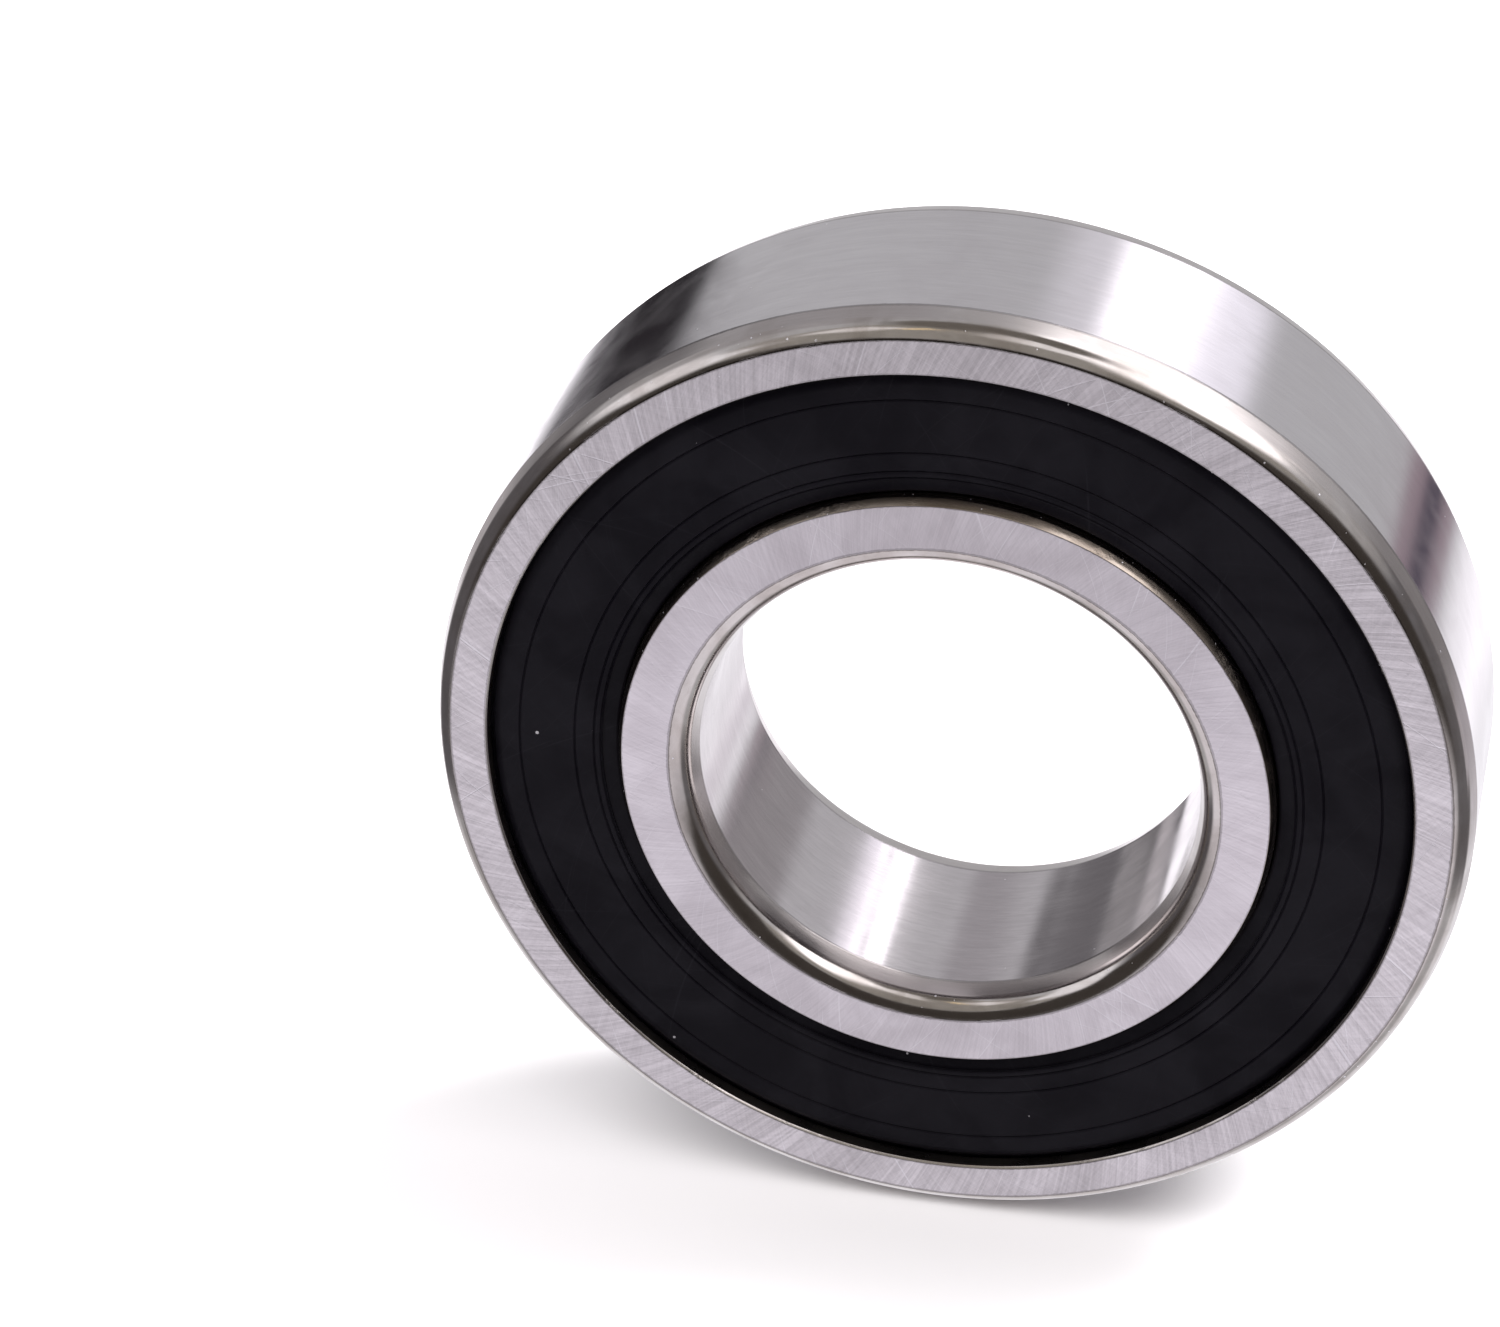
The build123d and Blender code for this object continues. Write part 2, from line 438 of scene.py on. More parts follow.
EDGE_LINE_TONE: Colour = (0.05, 0.043, 0.04)
SCRATCH_TONE: Colour = (0.86, 0.85, 0.89)
# Near-white colour of the specks painted on the steel as glints: painted highlights.
PAINTED_GLINT_TONE: Colour = (0.97, 0.96, 1.0)
DUST_TONE: Colour = (0.30, 0.29, 0.31)
STEEL_PATCHES = 260.0
STEEL_WEAR = 3600.0
STEEL_SCRATCHES = 150.0
STEEL_SPECKS = 4200.0
SPARKLE_HEIGHT = 4.0
DUST_HEIGHT = 9.0
QUARTER_TURN = 0.25


def new_material(name: str) -> tuple[bpy.types.Material, Graph, bpy.types.Node, Socket]:
    """Starts a material.

    Args:
        name: The material's name.

    Returns:
        The material, its graph, its Principled node and the object coordinates.
    """
    material = bpy.data.materials.new(name)
    material.use_nodes = True
    graph = Graph(material.node_tree)
    shader = material.node_tree.nodes["Principled BSDF"]
    place = graph.node("ShaderNodeTexCoord").outputs["Object"]
    return material, graph, shader, place


def add_relief(graph: Graph, shader: bpy.types.Node, microns: Socket) -> None:
    """Gives a shader a bump from a height in microns.

    Args:
        graph: The material's graph.
        shader: The Principled node.
        microns: The height.
    """
    bump = graph.node("ShaderNodeBump", {"Height": microns, "Strength": 1.0, "Distance": MICRON})
    graph.feed(shader.inputs["Normal"], bump.outputs[0])


@dataclass(frozen=True)
class SteelFinish:
    """Bearing steel with the marks of one kind of machining.

    Attributes:
        name: The material's name.
        colour: Clean metal.
        stain: Tone of the patches; the dark line painted along the edges has its own tone.
        stain_share: How much the patches show.
        roughness: Average roughness.
        roughness_spread: How much the roughness changes with the patches.
        stretch: Pattern scale of the machining lines, in X, Y and Z.
        grain_depth: Depth of the machining lines, in microns.
        scratch_depth: Depth of the crossing scratches, in microns.
        speck_share: Part of the surface's cells that hold a bright speck, painted near-white as a glint.
        line_contrast: How much the lines change the tone.
        line_share: How dark the line painted along the edges is.
        nick_depth: Depth of the nicks at the edges, in microns.
        lay: How far the machining marks stretch the reflections, from 0 to 1.
    """

    name: str
    colour: Colour
    stain: Colour
    stain_share: float
    roughness: float
    roughness_spread: float
    stretch: tuple[float, float, float]
    grain_depth: float
    scratch_depth: float = 0.0
    speck_share: float = 0.0
    line_contrast: float = 0.3
    line_share: float = 0.0
    nick_depth: float = 0.0
    lay: float = 0.0

    def material(self, effects: Effects) -> bpy.types.Material:
        """Builds the material.

        Args:
            effects: The shared shader groups.

        Returns:
            The finished material.
        """
        material, graph, shader, place = new_material(self.name)
        shader.inputs["Metallic"].default_value = 1.0
        if self.lay:
            shader.inputs["Anisotropic"].default_value = self.lay
            shader.inputs["Anisotropic Rotation"].default_value = QUARTER_TURN
            around = graph.node("ShaderNodeTangent", direction_type="RADIAL", axis="Y")
            graph.feed(shader.inputs["Tangent"], around.outputs[0])
        edge = graph.node("ShaderNodeAttribute", attribute_name="edge").outputs["Fac"]
        grain = graph.group(effects.grain, Place=place, Stretch=self.stretch).outputs["Grain"]
        patch = graph.group(effects.smudges, Place=place, Fineness=STEEL_PATCHES).outputs["Patch"]
        edge_marks = graph.group(effects.edge_line_and_nicks, Place=place, Edge=edge, Fineness=STEEL_WEAR)
        scratches = graph.group(effects.scratches, Place=place, Lines=STEEL_SCRATCHES)
        sparkles = graph.group(effects.specks, Place=place, Fineness=STEEL_SPECKS, Share=self.speck_share)
        specks = sparkles.outputs["Mask"]

        toned = graph.mix(graph.math("MULTIPLY", patch, self.stain_share), self.colour, self.stain)
        lines = graph.math("SUBTRACT", scratches.outputs["Height"] if self.scratch_depth else grain, 0.5)
        tone = graph.math("MULTIPLY_ADD", lines, self.line_contrast, 1.0)
        toned = graph.node("ShaderNodeVectorMath", {0: toned, 1: tone}, operation="MULTIPLY").outputs[0]
        if self.scratch_depth:
            bright = graph.math("MULTIPLY", scratches.outputs["Deep"], 0.5)
            toned = graph.mix(bright, toned, SCRATCH_TONE)
        # Dark ragged line painted into the colour along each edge; the nicks beside it are bump only.
        toned = graph.mix(graph.math("MULTIPLY", edge_marks.outputs["Line"], self.line_share), toned, EDGE_LINE_TONE)
        # Painted highlights: bright specks stand in for glints off tiny facets and nicks.
        toned = graph.mix(specks, toned, PAINTED_GLINT_TONE)
        graph.feed(shader.inputs["Base Color"], toned)

        uneven = graph.math("SUBTRACT", patch, 0.5)
        spread = graph.math("MULTIPLY_ADD", uneven, self.roughness_spread, self.roughness)
        rough = graph.math("ADD", spread, graph.math("MULTIPLY", specks, 0.3), clamp=True)
        graph.feed(shader.inputs["Roughness"], rough)

        height = graph.math("MULTIPLY", grain, self.grain_depth)
        if self.scratch_depth:
            height = graph.math("MULTIPLY_ADD", scratches.outputs["Height"], self.scratch_depth, height)
            height = graph.math(
                "SUBTRACT", height, graph.math("MULTIPLY", scratches.outputs["Deep"], self.scratch_depth * 0.7)
            )
        height = graph.math("SUBTRACT", height, graph.math("MULTIPLY", edge_marks.outputs["Nicks"], self.nick_depth))
        height = graph.math("MULTIPLY_ADD", specks, SPARKLE_HEIGHT, height)
        add_relief(graph, shader, height)
        return material


@dataclass(frozen=True)
class RubberFinish:
    """Moulded black nitrile rubber, with a satin skin and a little dust.

    Attributes:
        name: The material's name.
        colour: Clean rubber.
        dust: Tone of the dust and scuffs.
        roughness: Average roughness.
        gloss: Specular level.
        skin_depth: Depth of the moulded texture, in microns.
        speck_share: Part of the surface's cells that hold a speck of dust.
    """

    name: str
    colour: Colour
    dust: Colour
    roughness: float
    gloss: float
    skin_depth: float
    speck_share: float

    def material(self, effects: Effects) -> bpy.types.Material:
        """Builds the material.

        Args:
            effects: The shared shader groups.

        Returns:
            The finished material.
        """
        material, graph, shader, place = new_material(self.name)
        shader.inputs["Specular IOR Level"].default_value = self.gloss
        patch = graph.group(effects.smudges, Place=place, Fineness=190.0).outputs["Patch"]
        cloud = graph.group(effects.smudges, Place=place, Fineness=900.0).outputs["Patch"]
        skin = graph.noise(place, 9000.0, 3.0, 0.7)
        radial = graph.vector("LENGTH", graph.vector("MULTIPLY", place, (1.0, 0.0, 1.0)))
        rings = graph.node("ShaderNodeCombineXYZ", {"X": graph.math("MULTIPLY", radial, 5200.0)})
        flow = graph.noise(
            graph.vector("ADD", rings.outputs[0], graph.vector("MULTIPLY", place, (90.0, 90.0, 90.0))), 1.0, 2.0
        )
        specks = graph.group(effects.specks, Place=place, Fineness=2600.0, Share=self.speck_share).outputs["Mask"]
        scuffs = graph.group(effects.scratches, Place=place, Lines=210.0).outputs["Deep"]

        toned = graph.mix(graph.math("MULTIPLY", patch, 0.10), self.colour, self.dust)
        toned = graph.mix(graph.math("MULTIPLY", scuffs, 0.12), toned, self.dust)
        toned = graph.mix(specks, toned, DUST_TONE)
        graph.feed(shader.inputs["Base Color"], toned)
        rough = graph.math("MULTIPLY_ADD", graph.math("SUBTRACT", cloud, 0.5), 0.12, self.roughness)
        rough = graph.math("ADD", rough, graph.math("MULTIPLY", scuffs, 0.1), clamp=True)
        graph.feed(shader.inputs["Roughness"], rough)
        height = graph.math("MULTIPLY", skin, self.skin_depth)
        height = graph.math("MULTIPLY_ADD", flow, self.skin_depth * 1.4, height)
        height = graph.math("MULTIPLY_ADD", specks, DUST_HEIGHT, height)
        add_relief(graph, shader, height)
        return material


@dataclass(frozen=True)
class PolyamideFinish:
    """Glass-filled polyamide, as moulded.

    Attributes:
        name: The material's name.
        colour: Plain resin.
        fibre: Tone of the glass fibres under the skin.
        roughness: Average roughness.
    """

    name: str
    colour: Colour
    fibre: Colour
    roughness: float

    def material(self, effects: Effects) -> bpy.types.Material:
        """Builds the material.

        Args:
            effects: The shared shader groups.

        Returns:
            The finished material.
        """
        material, graph, shader, place = new_material(self.name)
        shader.inputs["Subsurface Weight"].default_value = 0.06
        shader.inputs["Subsurface Radius"].default_value = (0.0012, 0.0009, 0.0005)
        patch = graph.group(effects.smudges, Place=place, Fineness=320.0).outputs["Patch"]
        fibres = graph.group(effects.scratches, Place=place, Lines=260.0)
        toned = graph.mix(graph.math("MULTIPLY", patch, 0.35), self.colour, self.fibre)
        toned = graph.mix(graph.math("MULTIPLY", fibres.outputs["Deep"], 0.5), toned, self.fibre)
        graph.feed(shader.inputs["Base Color"], toned)
        graph.feed(
            shader.inputs["Roughness"],
            graph.math("MULTIPLY_ADD", graph.math("SUBTRACT", patch, 0.5), 0.14, self.roughness),
        )
        add_relief(graph, shader, graph.math("MULTIPLY", fibres.outputs["Height"], 5.0))
        return material


GROUND_CYLINDER = SteelFinish(
    "ground cylinder", (0.60, 0.585, 0.595), (0.53, 0.505, 0.515), 0.22, 0.14, 0.05, (420.0, 5200.0, 420.0), 0.5,
    speck_share=0.0008, line_contrast=0.26, line_share=0.35, nick_depth=6.0,
)
GROUND_BORE = SteelFinish(
    "ground bore", (0.60, 0.575, 0.585), (0.50, 0.475, 0.48), 0.3, 0.145, 0.06, (700.0, 5200.0, 700.0), 1.1,
    speck_share=0.001, line_contrast=0.42, line_share=0.35, nick_depth=6.0,
)
LEAD_BAND = SteelFinish(
    "turned lead", (0.52, 0.495, 0.485), (0.38, 0.35, 0.33), 0.35, 0.2, 0.08, (320.0, 6200.0, 320.0), 1.3,
    speck_share=0.005, line_share=0.25, nick_depth=6.0,
)
ROUNDED_CORNER = SteelFinish(
    "rounded corner", (0.56, 0.535, 0.52), (0.34, 0.30, 0.27), 0.5, 0.15, 0.1, (700.0, 3600.0, 700.0), 3.6,
    speck_share=0.016, line_contrast=0.5, line_share=0.6, nick_depth=12.0,
)
GROUND_FACE = SteelFinish(
    "ground face", (0.64, 0.615, 0.64), (0.585, 0.555, 0.58), 0.3, 0.33, 0.05, (2400.0, 2400.0, 2400.0), 0.3,
    scratch_depth=6.5, speck_share=0.0012, line_contrast=0.52, line_share=0.4, nick_depth=10.0, lay=0.8,
)
INNER_FACE = SteelFinish(
    "ground inner face", (0.685, 0.655, 0.69), (0.60, 0.565, 0.60), 0.45, 0.33, 0.05, (2400.0, 2400.0, 2400.0), 0.3,
    scratch_depth=3.5, speck_share=0.0012, line_contrast=0.24, line_share=0.4, nick_depth=10.0, lay=0.8,
)
EDGE_BREAK = SteelFinish(
    "edge break", (0.62, 0.59, 0.57), (0.38, 0.34, 0.31), 0.5, 0.2, 0.1, (700.0, 5200.0, 700.0), 2.5,
    speck_share=0.02, line_share=0.15, nick_depth=14.0,
)
SEAL_SEAT = SteelFinish(
    "seal seat", (0.42, 0.39, 0.37), (0.24, 0.21, 0.19), 0.5, 0.3, 0.1, (420.0, 5200.0, 420.0), 3.0,
)
RACEWAY = SteelFinish(
    "honed raceway", (0.66, 0.65, 0.66), (0.58, 0.56, 0.57), 0.2, 0.08, 0.04, (300.0, 12000.0, 300.0), 0.25,
)
OILED_LAND = SteelFinish(
    "oiled land", (0.54, 0.475, 0.41), (0.25, 0.2, 0.155), 0.6, 0.2, 0.12, (900.0, 4200.0, 900.0), 4.0,
    speck_share=0.03, line_contrast=0.6, line_share=0.3, nick_depth=10.0,
)
LAPPED_BALL = SteelFinish(
    "lapped ball", (0.70, 0.70, 0.72), (0.62, 0.62, 0.64), 0.2, 0.05, 0.03, (5200.0, 5200.0, 5200.0), 0.1,
)
CORE_SHEET = SteelFinish(
    "cold-rolled core", (0.52, 0.52, 0.53), (0.38, 0.36, 0.34), 0.5, 0.3, 0.1, (600.0, 3000.0, 4200.0), 1.8,
)
SEAL_RUBBER = RubberFinish(
    "black nitrile rubber", (0.0034, 0.0029, 0.0048), (0.035, 0.034, 0.042), 0.36, 0.058, 1.4, 0.003
)
CAGE_RESIN = PolyamideFinish("natural polyamide", (0.56, 0.49, 0.34), (0.66, 0.61, 0.48), 0.42)


# === Outlines of the turned pieces ===


class Zone(IntEnum):
    """Kind of surface on a ring, in the order of the finish inputs of the turning tree."""

    GROUND = 0
    LEAD = 1
    CORNER = 2
    FACE = 3
    BREAK = 4
    SEAT = 5
    RACEWAY = 6
    LAND = 7


RING_FINISHES = (
    GROUND_CYLINDER, LEAD_BAND, ROUNDED_CORNER, GROUND_FACE, EDGE_BREAK, SEAL_SEAT, RACEWAY, OILED_LAND,
)


@dataclass(frozen=True)
class Corner:
    """One corner of an outline, in millimetres.

    Attributes:
        radius: Distance from the bearing's axis.
        axial: Place along the axis.
        zone: Kind of surface from this corner to the next.
        rounding: How far the corner's rounding reaches along each side.
    """

    radius: float
    axial: float
    zone: int
    rounding: float = 0.0

    def point(self) -> Vector:
        """The corner as a flat vector."""
        return Vector((self.radius, self.axial))


@dataclass
class Outline:
    """Closed outline of a turned piece, traced with the outside on its left.

    Attributes:
        corners: The corners in order: outside towards the front, front face inwards, and back.
        rounding_steps: Pieces in each rounding.
        near_support: Distance of the line that holds a flat beside a rounding, in millimetres.
        far_support: Distance at which the painted edge line and the nicks beside an edge end, in millimetres.
    """

    corners: list[Corner]
    rounding_steps: int = 3
    near_support: float = 0.03
    far_support: float = 0.16

    def trace(self) -> list[tuple[Vector, int, float]]:
        """Works out the outline's points.

        Returns:
            Each point with the zone that follows it and the strength of its edge marks (painted line and nicks),
            from 0 to 1.
        """
        traced: list[tuple[Vector, int, float]] = []
        count = len(self.corners)
        for index, corner in enumerate(self.corners):
            before, after = self.corners[index - 1], self.corners[(index + 1) % count]
            here = corner.point()
            if corner.rounding:
                back = (before.point() - here).normalized() * corner.rounding
                ahead = (after.point() - here).normalized() * corner.rounding
                for step in range(self.rounding_steps + 1):
                    share = step / self.rounding_steps
                    point = here + back * (1 - share) ** 2 + ahead * share**2
                    traced.append((point, before.zone if share < 0.5 else corner.zone, 1.0))
            else:
                traced.append((here, corner.zone, 0.0))
            traced.extend(self._supports(corner, after))
        return traced

    def _supports(self, corner: Corner, after: Corner) -> list[tuple[Vector, int, float]]:
        """Lines beside the roundings of a long span.

        Args:
            corner: Start of the span.
            after: End of the span.

        Returns:
            The extra points, in order.
        """
        start, end = corner.point(), after.point()
        length = (end - start).length
        if length < 4 * self.far_support:
            return []
        along = (end - start).normalized()
        extra: list[tuple[Vector, int, float]] = []
        if corner.rounding:
            for distance, edge_marks in ((self.near_support, 0.8), (self.far_support, 0.0)):
                extra.append((start + along * (corner.rounding + distance), corner.zone, edge_marks))
        if after.rounding:
            for distance, edge_marks in ((self.far_support, 0.0), (self.near_support, 0.8)):
                extra.append((end - along * (after.rounding + distance), corner.zone, edge_marks))
        return extra


def arc_points(start: Vector, end: Vector, heading: Vector, steps: int) -> list[Vector]:
    """Points on an arc that leaves its start in a given direction.

    Args:
        start: First point.
        end: Last point.
        heading: Direction at the start.
        steps: Number of pieces.

    Returns:
        The points, with both ends.
    """
    chord = end - start
    side = Vector((-heading.y, heading.x)).normalized()
    if side.dot(chord) < 0:
        side = -side
    radius = chord.length_squared / (2 * side.dot(chord))
    centre = start + side * radius
    first, last = start - centre, end - centre
    sweep = first.angle(last)
    turn = 1 if first.x * last.y - first.y * last.x > 0 else -1
    points = []
    for step in range(steps + 1):
        angle = turn * sweep * step / steps
        points.append(
            centre
            + Vector(
                (
                    first.x * math.cos(angle) - first.y * math.sin(angle),
                    first.x * math.sin(angle) + first.y * math.cos(angle),
                )
            )
        )
    return points


# === The turning tree ===


class TurningTree:
    """Geometry Nodes tree that turns an outline about the bearing's axis."""

    def __init__(self) -> None:
        """Builds the tree."""
        inputs = {
            "Outline": SocketKind.SHAPE,
            "Segments": SocketKind.COUNT,
            "Rows": SocketKind.COUNT,
            "Waviness": SocketKind.NUMBER,
            "Seed": SocketKind.NUMBER,
        }
        inputs.update({f"Finish {zone}": SocketKind.FINISH for zone in range(len(Zone))})
        graph, given, result = open_group("turn an outline", "GeometryNodeTree", inputs, {"Piece": SocketKind.SHAPE})
        self.tree = graph.tree
        segments, rows = given.outputs["Segments"], given.outputs["Rows"]
        grid = graph.node(
            "GeometryNodeMeshGrid",
            {
                "Size X": segments,
                "Size Y": rows,
                "Vertices X": graph.math("ADD", segments, 1.0),
                "Vertices Y": graph.math("ADD", rows, 1.0),
            },
        )
        place = graph.node("ShaderNodeSeparateXYZ", {0: graph.node("GeometryNodeInputPosition").outputs[0]})
        column = graph.math("MULTIPLY_ADD", segments, 0.5, place.outputs["X"])
        angle = graph.math("DIVIDE", graph.math("MULTIPLY", column, 2 * math.pi), segments)
        row = graph.math("MULTIPLY_ADD", rows, 0.5, place.outputs["Y"])
        corner_row = graph.math("MODULO", graph.math("FLOOR", graph.math("ADD", row, 0.25)), rows)

        kept = grid.outputs["Mesh"]
        for name, kind, domain, index in (
            ("edge", "FLOAT", "POINT", corner_row),
            ("zone", "INT", "FACE", graph.math("FLOOR", row)),
        ):
            read = graph.node("GeometryNodeInputNamedAttribute", {"Name": name}, data_type=kind)
            found = graph.node(
                "GeometryNodeSampleIndex",
                {"Geometry": given.outputs["Outline"], "Value": read.outputs["Attribute"], "Index": index},
                data_type=kind,
            )
            kept = graph.node(
                "GeometryNodeStoreNamedAttribute",
                {"Geometry": kept, "Name": name, "Value": found.outputs["Value"]},
                data_type=kind,
                domain=domain,
            ).outputs["Geometry"]

        corner = graph.node(
            "GeometryNodeSampleIndex",
            {
                "Geometry": given.outputs["Outline"],
                "Value": graph.node("GeometryNodeInputPosition").outputs[0],
                "Index": corner_row,
            },
            data_type="FLOAT_VECTOR",
        )
        flat = graph.node("ShaderNodeSeparateXYZ", {0: corner.outputs["Value"]})
        round_place = graph.node(
            "ShaderNodeCombineXYZ",
            {
                "X": graph.math("MULTIPLY", flat.outputs["X"], graph.math("COSINE", angle)),
                "Y": flat.outputs["Y"],
                "Z": graph.math("MULTIPLY", flat.outputs["X"], graph.math("SINE", angle)),
            },
        )
        turned = graph.node("GeometryNodeSetPosition", {"Geometry": kept, "Position": round_place.outputs[0]})
        closed = graph.node(
            "GeometryNodeMergeByDistance", {"Geometry": turned.outputs["Geometry"], "Distance": 1e-7}
        ).outputs["Geometry"]

        noise = graph.node(
            "ShaderNodeTexNoise",
            {"W": given.outputs["Seed"], "Scale": 330.0, "Detail": 1.0},
            noise_dimensions="4D",
        )
        lift = graph.math(
            "MULTIPLY", graph.math("SUBTRACT", noise.outputs["Fac"], 1.0), given.outputs["Waviness"]
        )
        offset = graph.node(
            "ShaderNodeVectorMath",
            {0: graph.node("GeometryNodeInputNormal").outputs[0], "Scale": lift},
            operation="SCALE",
        )
        waved = graph.node("GeometryNodeSetPosition", {"Geometry": closed, "Offset": offset.outputs[0]})
        shape = graph.node("GeometryNodeSetShadeSmooth", {"Geometry": waved.outputs["Geometry"]}).outputs["Geometry"]
        shape = graph.node("GeometryNodeRealizeInstances", {"Geometry": shape}).outputs["Geometry"]
        zone_read = graph.node("GeometryNodeInputNamedAttribute", {"Name": "zone"}, data_type="INT")
        for zone in range(len(Zone)):
            chosen = graph.node(
                "FunctionNodeCompare",
                {2: zone_read.outputs["Attribute"], 3: zone},
                data_type="INT",
                operation="EQUAL",
            )
            shape = graph.node(
                "GeometryNodeSetMaterial",
                {"Geometry": shape, "Selection": chosen.outputs[0], "Material": given.outputs[f"Finish {zone}"]},
            ).outputs["Geometry"]
        graph.feed(result.inputs["Piece"], shape)

    def turn(
        self,
        name: str,
        outline: Outline,
        finishes: Sequence[bpy.types.Material],
        segments: int,
        waviness: float,
        seed: float,
    ) -> bpy.types.Object:
        """Turns one piece.

        Args:
            name: The piece's name.
            outline: Its outline.
            finishes: A material for each zone.
            segments: Divisions round the axis.
            waviness: Height of the surface's slow waves, in metres.
            seed: Seed of those waves.

        Returns:
            The finished object, with a plain mesh.
        """
        traced = outline.trace()
        start = bpy.data.meshes.new(f"{name}_outline")
        start.from_pydata([(point.x * MM, point.y * MM, 0.0) for point, _, _ in traced], [], [])
        start.attributes.new("edge", "FLOAT", "POINT").data.foreach_set("value", [edge_marks for _, _, edge_marks in traced])
        start.attributes.new("zone", "INT", "POINT").data.foreach_set("value", [int(zone) for _, zone, _ in traced])
        piece = bpy.data.objects.new(name, start)
        bpy.context.scene.collection.objects.link(piece)

        modifier = piece.modifiers.new("turning", "NODES")
        modifier.node_group = self.tree
        given: dict[str, Any] = {"Segments": segments, "Rows": len(traced), "Waviness": waviness, "Seed": seed}
        given.update({f"Finish {zone}": finishes[min(zone, len(finishes) - 1)] for zone in range(len(Zone))})
        for item in self.tree.interface.items_tree:
            if item.in_out == "INPUT" and item.name in given:
                modifier[item.identifier] = given[item.name]
        graph = bpy.context.evaluated_depsgraph_get()
        mesh = bpy.data.meshes.new_from_object(
            piece.evaluated_get(graph), preserve_all_data_layers=True, depsgraph=graph
        )
        piece.modifiers.remove(modifier)
        mesh.name = name
        piece.data = mesh
        bpy.data.meshes.remove(start)
        return piece


# === Sub-assemblies ===


@dataclass
class Raceway:
    """Groove that a row of balls runs in, in millimetres.

    Attributes:
        centre_radius: Radius of the groove's centre.
        centre_axial: Place of that centre along the axis.
        radius: Radius of the groove.
        outwards: True on the outer ring, where the groove is cut away from the axis.
    """

    centre_radius: float
    centre_axial: float
    radius: float
    outwards: bool

    def edge(self, shoulder: float, side: int) -> float:
        """Place along the axis where the groove opens into a shoulder."""
        return self.centre_axial + side * math.sqrt(self.radius**2 - (shoulder - self.centre_radius) ** 2)

    def corners(self, first: float, last: float, side: int, steps: int = 14) -> list[Corner]:
        """Corners along the groove.

        Args:
            first: Shoulder where the groove starts.
            last: Shoulder where it ends.
            side: Side of the first shoulder.
            steps: Number of pieces.

        Returns:
            The groove's corners, with both ends.
        """
        start = math.atan2(self.edge(first, side) - self.centre_axial, first - self.centre_radius)
        end = math.atan2(self.edge(last, -side) - self.centre_axial, last - self.centre_radius)
        if not self.outwards:
            start, end = start % (2 * math.pi), end % (2 * math.pi)
        made = []
        for step in range(steps + 1):
            angle = start + (end - start) * step / steps
            made.append(
                Corner(
                    self.centre_radius + self.radius * math.cos(angle),
                    self.centre_axial + self.radius * math.sin(angle),
                    Zone.RACEWAY,
                )
            )
        return made


@dataclass
class RingSizes:
    """Sizes that both rings share, in millimetres."""

    half_width: float = 8.0
    corner_axial: float = 2.05
    lead_length: float = 1.0
    lead_angle: float = 15.0
    edge_break: float = 0.12
    seat_depth: float = 1.9
    seat_round: float = 0.03
    face_round: float = 0.05
    lead_round: float = 0.07

    def depth(self, side: int, below: float) -> float:
        """Place along the axis at a depth below one face."""
        return side * (self.half_width - below)

    def rounded_corner(self, cylinder: float, towards: int, radial: float, side: int, inwards: bool) -> list[Corner]:
        """Lead and rounded corner between a cylinder and a face.

        Args:
            cylinder: Radius of the cylinder.
            towards: 1 where the face lies outside the cylinder's radius, or -1.
            radial: Reach of the corner across the face.
            side: Side of the bearing.
            inwards: True when the outline runs from the face to the cylinder.

        Returns:
            The corners, in the outline's order.
        """
        lead_radial = self.lead_length * math.tan(math.radians(self.lead_angle))
        start = Corner(cylinder, self.depth(side, self.corner_axial), Zone.LEAD, self.lead_round)
        lead_end = Vector((cylinder + towards * lead_radial, self.depth(side, self.corner_axial - self.lead_length)))
        face_edge = Vector((cylinder + towards * radial, self.depth(side, 0.0)))
        heading = Vector((towards * lead_radial, side * self.lead_length))
        arc = arc_points(lead_end, face_edge, heading, 9)
        curve = [Corner(point.x, point.y, Zone.CORNER) for point in arc]
        if inwards:
            curve = curve[::-1]
            curve[0] = Corner(curve[0].radius, curve[0].axial, Zone.CORNER, self.face_round)
            curve[-1] = Corner(curve[-1].radius, curve[-1].axial, Zone.LEAD)
            return curve + [Corner(start.radius, start.axial, Zone.GROUND, self.lead_round)]
        curve[-1] = Corner(curve[-1].radius, curve[-1].axial, Zone.FACE, self.face_round)
        return [start] + curve


